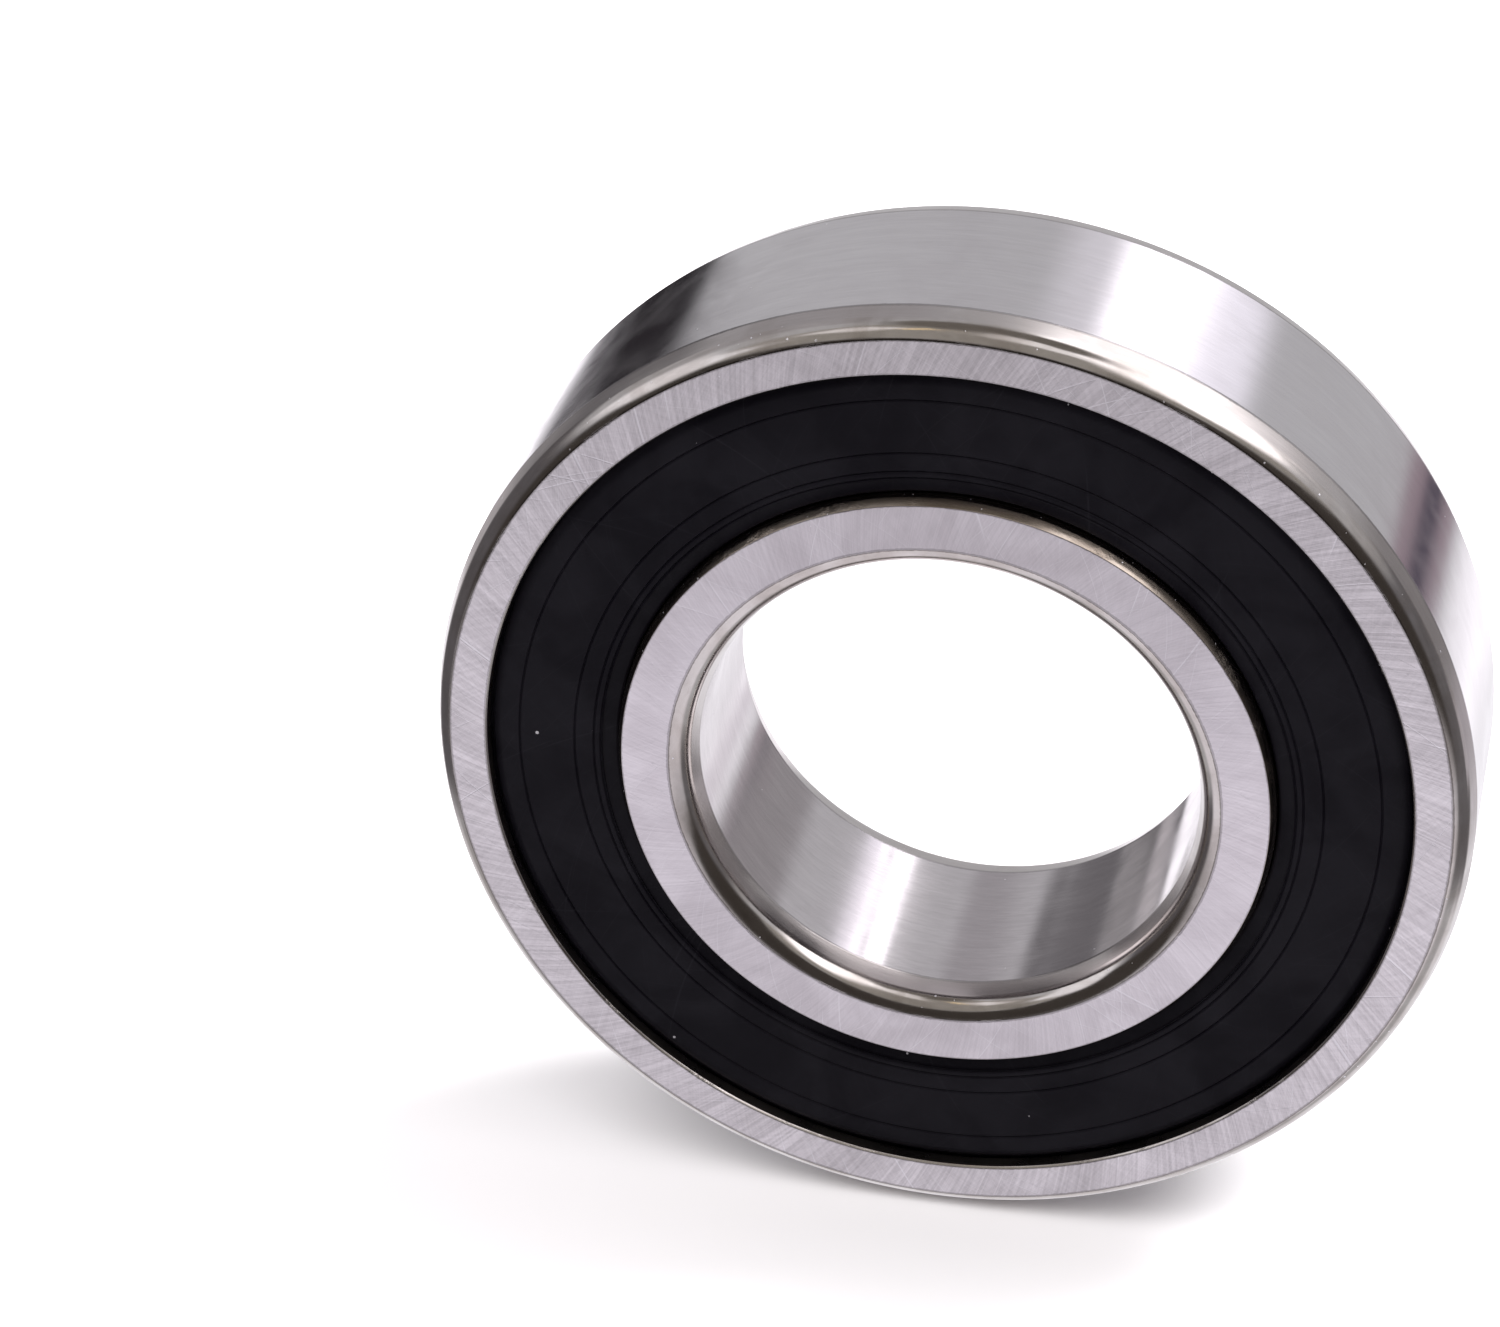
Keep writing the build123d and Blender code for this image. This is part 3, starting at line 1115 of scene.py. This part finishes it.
@dataclass
class OuterRing:
    """Outer ring, turned from its outline.

    Attributes:
        sizes: Sizes shared with the inner ring.
        outside: Outside radius.
        corner_radial: Reach of the rounded corners across the face.
        wall: Radius of the wall beside the seal.
        groove: Radius of the groove for the seal's bead.
        groove_start: Depth of that groove below the face.
        groove_slope: Slope of its front wall along the axis.
        low_shoulder: Shoulder radius at the front.
        high_shoulder: Shoulder radius at the rear.
        raceway: The groove for the balls.
        segments: Divisions round the axis.
    """

    sizes: RingSizes = field(default_factory=RingSizes)
    outside: float = 31.0
    corner_radial: float = 1.18
    wall: float = 27.5525
    groove: float = 28.1525
    groove_start: float = 0.95
    groove_slope: float = 0.25
    low_shoulder: float = 27.6525
    high_shoulder: float = 25.2625
    raceway: Raceway = field(default_factory=lambda: Raceway(22.8655, -0.1128, 4.953, True))
    segments: int = 400

    def outline(self) -> Outline:
        """Draws the ring's outline.

        Returns:
            The closed outline.
        """
        depth, cut, soft = self.sizes.depth, self.sizes.edge_break, self.sizes.seat_round
        corners = self.sizes.rounded_corner(self.outside, -1, self.corner_radial, FRONT, False)
        corners += [
            Corner(self.wall + cut, depth(FRONT, 0.0), Zone.BREAK, soft),
            Corner(self.wall, depth(FRONT, cut), Zone.SEAT, soft),
            Corner(self.wall, depth(FRONT, self.groove_start), Zone.SEAT, soft),
            Corner(self.groove, depth(FRONT, self.groove_start + self.groove_slope), Zone.SEAT),
            Corner(self.groove, depth(FRONT, self.sizes.seat_depth), Zone.SEAT),
            Corner(self.low_shoulder, depth(FRONT, self.sizes.seat_depth), Zone.SEAT),
        ]
        corners += self.raceway.corners(self.low_shoulder, self.high_shoulder, FRONT)
        corners[-1] = Corner(corners[-1].radius, corners[-1].axial, Zone.SEAT)
        corners += [
            Corner(self.high_shoulder, depth(REAR, self.sizes.seat_depth), Zone.SEAT),
            Corner(self.groove, depth(REAR, self.sizes.seat_depth), Zone.SEAT),
            Corner(self.groove, depth(REAR, self.groove_start + self.groove_slope), Zone.SEAT),
            Corner(self.wall, depth(REAR, self.groove_start), Zone.SEAT, soft),
            Corner(self.wall, depth(REAR, cut), Zone.BREAK, soft),
            Corner(self.wall + cut, depth(REAR, 0.0), Zone.FACE, soft),
        ]
        corners += self.sizes.rounded_corner(self.outside, -1, self.corner_radial, REAR, True)
        return Outline(corners)

    def build(self, tree: TurningTree, finishes: Sequence[bpy.types.Material]) -> bpy.types.Object:
        """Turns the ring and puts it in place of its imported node.

        Args:
            tree: The turning tree.
            finishes: A material for each zone.

        Returns:
            The ring.
        """
        piece = tree.turn("outer_ring_turned", self.outline(), finishes, self.segments, 3 * MICRON, 3.0)
        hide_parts("outer_ring")
        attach(piece, "outer_assembly")
        return piece


@dataclass
class InnerRing:
    """Inner ring, turned from its outline.

    Attributes:
        sizes: Sizes shared with the outer ring.
        bore: Bore radius.
        corner_radial: Reach of the rounded corners across the face.
        land: Radius of the lands that the seal lips run on.
        bevel_radial: Reach of the bevel from the land across the face.
        bevel_axial: Reach of that bevel along the axis.
        front_shoulder: Shoulder radius at the front.
        rear_shoulder: Shoulder radius at the rear.
        raceway: The groove for the balls.
        segments: Divisions round the axis.
    """

    sizes: RingSizes = field(default_factory=RingSizes)
    bore: float = 15.0
    corner_radial: float = 1.48
    land: float = 19.6175
    bevel_radial: float = 0.3
    bevel_axial: float = 0.55
    front_shoulder: float = 20.7375
    rear_shoulder: float = 20.0875
    raceway: Raceway = field(default_factory=lambda: Raceway(23.1345, 0.1128, 4.953, False))
    segments: int = 360

    def outline(self) -> Outline:
        """Draws the ring's outline.

        Returns:
            The closed outline.
        """
        depth, face_edge = self.sizes.depth, self.land - self.bevel_radial
        corners = [
            Corner(self.land, depth(REAR, self.bevel_axial), Zone.LAND, 0.05),
            Corner(self.land, depth(REAR, self.sizes.seat_depth), Zone.LAND),
            Corner(self.rear_shoulder, depth(REAR, self.sizes.seat_depth), Zone.SEAT),
        ]
        corners += self.raceway.corners(self.rear_shoulder, self.front_shoulder, REAR)
        corners[-1] = Corner(corners[-1].radius, corners[-1].axial, Zone.SEAT)
        corners += [
            Corner(self.front_shoulder, depth(FRONT, self.sizes.seat_depth), Zone.LAND),
            Corner(self.land, depth(FRONT, self.sizes.seat_depth), Zone.LAND),
            Corner(self.land, depth(FRONT, self.bevel_axial), Zone.LAND, 0.05),
            Corner(face_edge, depth(FRONT, 0.0), Zone.FACE, 0.035),
        ]
        corners += self.sizes.rounded_corner(self.bore, 1, self.corner_radial, FRONT, True)
        corners += self.sizes.rounded_corner(self.bore, 1, self.corner_radial, REAR, False)
        corners.append(Corner(face_edge, depth(REAR, 0.0), Zone.LAND, 0.035))
        return Outline(corners)

    def build(self, tree: TurningTree, finishes: Sequence[bpy.types.Material]) -> bpy.types.Object:
        """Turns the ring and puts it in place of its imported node.

        Args:
            tree: The turning tree.
            finishes: A material for each zone.

        Returns:
            The ring.
        """
        piece = tree.turn("inner_ring_turned", self.outline(), finishes, self.segments, 2 * MICRON, 11.0)
        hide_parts("inner_ring")
        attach(piece, "inner_ring")
        return piece


@dataclass
class Seal:
    """Rubber of one seal, moulded round its steel core.

    Attributes:
        side: FRONT or REAR.
        half_width: Half the bearing's width.
        sink: Depth of the flat below the ring's face.
        rim: Radius of the rim.
        rim_round: Reach of the rounded rim across the flat.
        rim_drop: Reach of the rounded rim along the axis.
        bead: Radius of the bead.
        bead_start: Depth of the bead's front.
        seat: Depth of the bead's back.
        core_outside: Outside radius of the core.
        core_inside: Inside radius of the core.
        core_front: Depth of the core's front.
        core_back: Depth of the core's back.
        core_bend: Outside radius of the core's flange.
        lip_tip: Radius of the lip's tip.
        lip_root: Radius of the lip's root.
        lip_drop: How far the tip lies below the flat.
        lip_thickness: Thickness of the lip.
        lip_heel: Rubber behind the lip's root.
        lines: Radii of the fine moulded lines.
        line_width: Width of a line.
        line_depth: Depth of a line.
        segments: Divisions round the axis.
    """

    side: int
    half_width: float = 8.0
    sink: float = 0.64
    rim: float = 27.5125
    rim_round: float = 0.85
    rim_drop: float = 0.5
    bead: float = 28.1225
    bead_start: float = 1.23
    seat: float = 1.9
    core_outside: float = 27.2025
    core_inside: float = 20.9875
    core_front: float = 1.04
    core_back: float = 1.54
    core_bend: float = 0.6
    lip_tip: float = 19.6675
    lip_root: float = 20.6375
    lip_drop: float = 0.3
    lip_thickness: float = 0.3
    lip_heel: float = 0.35
    lines: tuple[float, ...] = (25.7025, 22.3375, 21.1575, 20.7375)
    line_width: float = 0.16
    line_depth: float = 0.12
    segments: int = 360

    def _at(self, radius: float, below: float, rounding: float = 0.0) -> Corner:
        """A corner at a radius and a depth below the face."""
        return Corner(radius, self.side * (self.half_width - below), 0, rounding)

    def outline(self) -> Outline:
        """Draws the rubber's outline.

        Returns:
            The closed outline, traced in the order that puts the outside on its left.
        """
        flat, edge = Vector((self.rim - self.rim_round, self.sink)), Vector((self.rim, self.sink + self.rim_drop))
        rim = [self._at(point.x, point.y) for point in arc_points(flat, edge, Vector((1.0, 0.0)), 6)][::-1]
        bend_start = Vector((self.core_outside - self.core_bend, self.core_front))
        bend_end = Vector((self.core_outside, self.core_front + self.core_bend))
        bend = [self._at(point.x, point.y) for point in arc_points(bend_start, bend_end, Vector((1.0, 0.0)), 4)]
        corners = rim
        for radius in self.lines:
            corners += [
                self._at(radius + self.line_width / 2, self.sink, 0.025),
                self._at(radius, self.sink + self.line_depth, 0.02),
                self._at(radius - self.line_width / 2, self.sink, 0.018),
            ]
        tip_depth = self.sink + self.lip_drop
        corners += [
            self._at(self.lip_root, self.sink, 0.008),
            self._at(self.lip_root, self.sink + self.line_depth, 0.02),
            self._at(self.lip_tip + self.lip_thickness / 2, tip_depth, 0.05),
            self._at(self.lip_tip, tip_depth + self.lip_thickness / 2, 0.05),
            self._at(self.lip_tip + self.lip_thickness / 2, tip_depth + self.lip_thickness, 0.05),
            self._at(self.lip_root - self.lip_heel, self.core_back - self.lip_heel / 2),
            self._at(self.lip_root, self.core_back),
            self._at(self.core_inside, self.core_back),
            self._at(self.core_inside, self.core_front),
        ]
        corners += bend
        corners += [
            self._at(self.core_outside, self.seat),
            self._at(self.bead, self.seat),
            self._at(self.bead, self.bead_start),
        ]
        if self.side == REAR:
            corners = corners[::-1]
        return Outline(corners, rounding_steps=2)

    def build(self, tree: TurningTree, rubber: bpy.types.Material) -> bpy.types.Object:
        """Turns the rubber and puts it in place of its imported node.

        Args:
            tree: The turning tree.
            rubber: The rubber's material.

        Returns:
            The seal's rubber.
        """
        place = "front" if self.side == FRONT else "rear"
        seed = 5.0 + self.side
        piece = tree.turn(f"{place}_seal_moulded", self.outline(), [rubber], self.segments, 14 * MICRON, seed)
        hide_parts(f"{place}_seal_rubber")
        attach(piece, "outer_assembly")
        return piece


@dataclass
class InnerParts:
    """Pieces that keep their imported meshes: the balls, the cage and the seals' steel cores.

    Attributes:
        finishes: Start of a node's name, and the finish that its nodes get.
    """

    finishes: dict[str, SteelFinish | PolyamideFinish] = field(
        default_factory=lambda: {
            "ball_cage": CAGE_RESIN,
            "ball_": LAPPED_BALL,
            "front_seal_core": CORE_SHEET,
            "rear_seal_core": CORE_SHEET,
        }
    )

    def dress(self, effects: Effects) -> list[str]:
        """Gives each node its finish.

        Args:
            effects: The shared shader groups.

        Returns:
            The names of the nodes that were dressed.
        """
        made: dict[str, bpy.types.Material] = {}
        dressed = []
        for name, node in sorted(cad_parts.items()):
            start = next((key for key in self.finishes if name.startswith(key)), None)
            if start is None:
                continue
            finish = self.finishes[start]
            if finish.name not in made:
                made[finish.name] = finish.material(effects)
            for slot in node.material_slots:
                slot.material = made[finish.name]
            dressed.append(name)
        return dressed


# === Studio ===


@dataclass(frozen=True)
class Panel:
    """Part of the studio's surroundings, by its direction from the bearing.

    Attributes:
        azimuth: From and to, in degrees from +Y towards +X.
        elevation: From and to, in degrees above the horizon.
        colour: Light that it sends.
        soft: Width of its soft border in azimuth and in elevation, in degrees.
        share: How fully it covers what lies behind.
    """

    azimuth: tuple[float, float]
    elevation: tuple[float, float]
    colour: Colour
    soft: tuple[float, float] = (2.0, 2.0)
    share: float = 1.0


@dataclass(frozen=True)
class Lamp:
    """Square soft light that looks at the bearing.

    Attributes:
        spot: Its place, in metres.
        size: Its side, in metres.
        power: Its power, in watts.
    """

    spot: tuple[float, float, float]
    size: float
    power: float


@dataclass
class Studio:
    """Pale floor, surroundings, lights and camera.

    Attributes:
        walls: Light of the surroundings where no panel stands.
        panels: Softboxes, flags and bounces, from back to front.
        lens: Focal length, in millimetres.
        azimuth: Camera's place round the bearing, in degrees.
        elevation: Camera's height, in degrees.
        distance: From the front face's plane to the camera, along the view, in metres.
        slide: Sideways and upward offset of the camera, in metres.
        shift: Lens shift across and up.
        floor_size: Side of the floor, in metres.
        lamps: Soft lights by name, left out of reflections.
    """

    walls: Colour = (0.64, 0.63, 0.65)
    panels: tuple[Panel, ...] = (
        Panel((-75.0, 75.0), (-90.0, -17.0), (1.1, 1.07, 1.12), (20.0, 5.0)),
        Panel((-40.0, 24.0), (-28.0, -17.0), (1.45, 1.4, 1.47), (6.0, 5.0)),
        Panel((24.0, 42.0), (-32.0, -21.5), (0.95, 0.9, 0.96), (3.0, 3.0)),
        Panel((45.0, 120.0), (-40.0, 13.0), (0.20, 0.19, 0.20), (16.0, 8.0)),
        Panel((42.0, 66.0), (-26.0, -11.0), (0.62, 0.58, 0.62), (6.0, 4.0)),
        Panel((-120.0, -50.0), (-40.0, 13.0), (0.15, 0.14, 0.15), (16.0, 8.0)),
        Panel((120.0, 240.0), (-90.0, -20.0), (0.7, 0.67, 0.71), (20.0, 8.0)),
        Panel((120.0, 240.0), (-90.0, -31.0), (1.12, 1.07, 1.14), (20.0, 10.0)),
        Panel((110.0, 250.0), (-19.0, 26.0), (0.07, 0.06, 0.054), (14.0, 7.0)),
        Panel((110.0, 250.0), (26.0, 90.0), (0.42, 0.39, 0.36), (14.0, 7.0)),
        Panel((-400.0, 400.0), (70.0, 100.0), (0.2, 0.18, 0.16), (2.0, 8.0)),
        Panel((-75.0, -20.0), (30.0, 66.0), (0.5, 0.48, 0.5), (14.0, 10.0)),
        Panel((-34.0, -9.0), (29.5, 42.0), (0.46, 0.44, 0.46), (6.0, 3.0)),
        Panel((-130.0, -85.0), (18.0, 40.0), (1.3, 1.27, 1.32), (12.0, 6.0)),
        Panel((-56.0, -31.0), (2.0, 26.0), (0.20, 0.19, 0.20), (2.0, 3.0)),
        Panel((-40.0, -28.5), (17.0, 26.0), (0.21, 0.20, 0.21), (2.0, 3.0)),
        Panel((-50.0, -34.0), (-11.0, 2.0), (0.42, 0.40, 0.41), (2.0, 3.0)),
        Panel((-48.0, -30.5), (-24.0, -11.0), (0.64, 0.60, 0.62), (1.5, 3.0)),
        Panel((-34.0, -27.5), (-11.0, 1.5), (0.015, 0.012, 0.015), (1.5, 2.0)),
        Panel((-30.5, -26.5), (-21.0, -11.0), (0.03, 0.025, 0.03), (1.5, 1.5)),
        Panel((33.5, 60.0), (-14.0, 12.0), (0.38, 0.36, 0.37), (3.0, 6.0)),
        Panel((17.0, 24.5), (16.0, 30.0), (1.4, 1.35, 1.47), (3.5, 4.0)),
        Panel((1.0, 12.0), (16.0, 31.0), (0.95, 0.92, 0.98), (5.0, 4.0)),
        Panel((8.5, 17.5), (16.0, 30.0), (2.9, 2.8, 2.95), (5.0, 4.0)),
        Panel((19.0, 27.0), (29.0, 42.0), (1.35, 1.3, 1.4), (4.0, 3.0)),
        Panel((11.5, 19.5), (29.0, 42.0), (2.9, 2.8, 2.95), (3.0, 3.0)),
        Panel((46.0, 68.0), (29.0, 45.0), (1.25, 1.2, 1.24), (8.0, 6.0)),
        Panel((12.0, 150.0), (38.0, 70.0), (2.5, 2.4, 2.45), (24.0, 9.0)),
        Panel((19.4, 22.4), (30.0, 42.0), (2.6, 2.5, 2.65), (0.8, 3.0)),
        Panel((17.2, 19.4), (30.0, 45.0), (0.5, 0.47, 0.5), (0.8, 3.0)),
        Panel((150.0, 186.0), (58.0, 78.0), (1.25, 1.2, 1.2), (8.0, 4.0)),
        Panel((208.0, 214.0), (58.0, 66.0), (1.5, 1.15, 0.65), (3.0, 3.0)),
        Panel((216.0, 240.0), (50.0, 63.0), (1.15, 1.1, 1.1), (8.0, 4.0)),
        Panel((24.0, 33.0), (-15.5, -5.5), (0.38, 0.29, 0.33), (3.0, 2.0)),
        Panel((25.0, 33.0), (-12.5, -9.0), (0.07, 0.06, 0.09), (3.0, 1.5)),
    )
    lens: float = 109.26
    azimuth: float = 11.99
    elevation: float = 33.10
    distance: float = 0.2668
    slide: tuple[float, float] = (-0.00862, 0.00356)
    shift: tuple[float, float] = (-0.0295, 0.0459)
    floor_size: float = 6.0
    lamps: dict[str, Lamp] = field(
        default_factory=lambda: {
            "key": Lamp((0.45, 0.35, 0.75), 0.5, 11.0),
            "fill": Lamp((-0.35, -0.5, 0.9), 0.8, 7.0),
        }
    )

    def build_surroundings(self) -> None:
        """Makes the world's panorama, which the steel reflects and the camera sees as white."""
        world = bpy.data.worlds.new("studio")
        world.use_nodes = True
        bpy.context.scene.world = world
        graph = Graph(world.node_tree)
        way = graph.node("ShaderNodeTexCoord").outputs["Generated"]
        parts = graph.node("ShaderNodeSeparateXYZ", {0: graph.vector("NORMALIZE", way)})
        around = graph.math("MULTIPLY", graph.math("ARCTAN2", parts.outputs["X"], parts.outputs["Y"]), 180 / math.pi)
        height = graph.math("MULTIPLY", graph.math("ARCSINE", parts.outputs["Z"]), 180 / math.pi)
        behind = graph.math("WRAP", around, 360.0, 0.0)
        light: Any = self.walls
        for panel in self.panels:
            angle = behind if panel.azimuth[1] > 180 else around
            mask = self._window(graph, angle, panel.azimuth, panel.soft[0])
            mask = graph.math("MULTIPLY", mask, self._window(graph, height, panel.elevation, panel.soft[1]))
            light = graph.mix(graph.math("MULTIPLY", mask, panel.share), light, panel.colour)
        shown = graph.mix(graph.node("ShaderNodeLightPath").outputs["Is Camera Ray"], light, (1.0, 1.0, 1.0))
        background = world.node_tree.nodes["Background"]
        graph.feed(background.inputs["Color"], shown)

    @staticmethod
    def _window(graph: Graph, value: Socket, span: tuple[float, float], soft: float) -> Socket:
        """Mask of a span of angles with soft borders.

        Args:
            graph: The world's graph.
            value: The angle.
            span: Start and end of the span.
            soft: Width of each border.

        Returns:
            The mask's socket.
        """
        rise = graph.ramp(value, span[0] - soft / 2, span[0] + soft / 2)
        fall = graph.ramp(value, span[1] - soft / 2, span[1] + soft / 2, 1.0, 0.0)
        return graph.math("MULTIPLY", rise, fall)

    def build_floor(self) -> None:
        """Makes the pale floor under the bearing."""
        half, top = self.floor_size / 2, CAD_BOX[0].z
        mesh = bpy.data.meshes.new("floor")
        mesh.from_pydata(
            [(-half, -half, top), (half, -half, top), (half, half, top), (-half, half, top)], [], [(0, 1, 2, 3)]
        )
        floor = bpy.data.objects.new("floor", mesh)
        bpy.context.scene.collection.objects.link(floor)
        material, graph, shader, place = new_material("pale floor")
        shader.inputs["Specular IOR Level"].default_value = 0.0
        toned = graph.mix(graph.noise(place, 40.0), (0.93, 0.92, 0.93), (0.95, 0.94, 0.95))
        graph.feed(shader.inputs["Base Color"], toned)
        shader.inputs["Roughness"].default_value = 0.9
        mesh.materials.append(material)
        floor.visible_glossy = False

    def build_lights(self) -> None:
        """Makes the soft lights that light the floor and throw the shadow."""
        for name, light in self.lamps.items():
            data = bpy.data.lights.new(name, "AREA")
            data.size = light.size
            data.energy = light.power
            lamp = bpy.data.objects.new(name, data)
            lamp.location = light.spot
            lamp.rotation_euler = (-Vector(light.spot)).to_track_quat("-Z", "Y").to_euler()
            lamp.visible_glossy = False
            bpy.context.scene.collection.objects.link(lamp)

    def build_camera(self) -> None:
        """Makes the camera and sets it as the scene's."""
        turn, rise = math.radians(self.azimuth), math.radians(self.elevation)
        back = Vector((math.sin(turn) * math.cos(rise), -math.cos(turn) * math.cos(rise), math.sin(rise)))
        right = Vector((math.cos(turn), math.sin(turn), 0.0))
        up = back.cross(right)
        data = bpy.data.cameras.new("camera")
        data.lens, data.sensor_width = self.lens, 36.0
        data.shift_x, data.shift_y = self.shift
        data.clip_start, data.clip_end = 0.01, 20.0
        camera = bpy.data.objects.new("camera", data)
        front = Vector((0.0, CAD_BOX[0].y, 0.0))
        camera.location = front + back * self.distance + right * self.slide[0] + up * self.slide[1]
        camera.rotation_euler = (math.pi / 2 - rise, 0.0, turn)
        bpy.context.scene.collection.objects.link(camera)
        bpy.context.scene.camera = camera

    def build(self) -> None:
        """Makes the whole studio."""
        self.build_surroundings()
        self.build_floor()
        self.build_lights()
        self.build_camera()
        bpy.context.scene.view_settings.view_transform = "Standard"


def main() -> None:
    """Builds the bearing and its studio in order and reports each piece."""
    logging.basicConfig(level=logging.INFO, format="%(message)s")
    effects = Effects()
    tree = TurningTree()
    outer_finishes = [finish.material(effects) for finish in RING_FINISHES]
    inner_finishes = list(outer_finishes)
    inner_finishes[Zone.GROUND] = GROUND_BORE.material(effects)
    inner_finishes[Zone.FACE] = INNER_FACE.material(effects)
    rubber = SEAL_RUBBER.material(effects)
    pieces = [
        OuterRing().build(tree, outer_finishes),
        InnerRing().build(tree, inner_finishes),
        Seal(FRONT).build(tree, rubber),
        Seal(REAR).build(tree, rubber),
    ]
    for piece in pieces:
        log.info("%s: %d faces", piece.name, len(piece.data.polygons))
    for name in InnerParts().dress(effects):
        log.info("%s: dressed", name)
    Studio().build()
    log.info("studio ready")


if __name__ == "__main__":
    main()
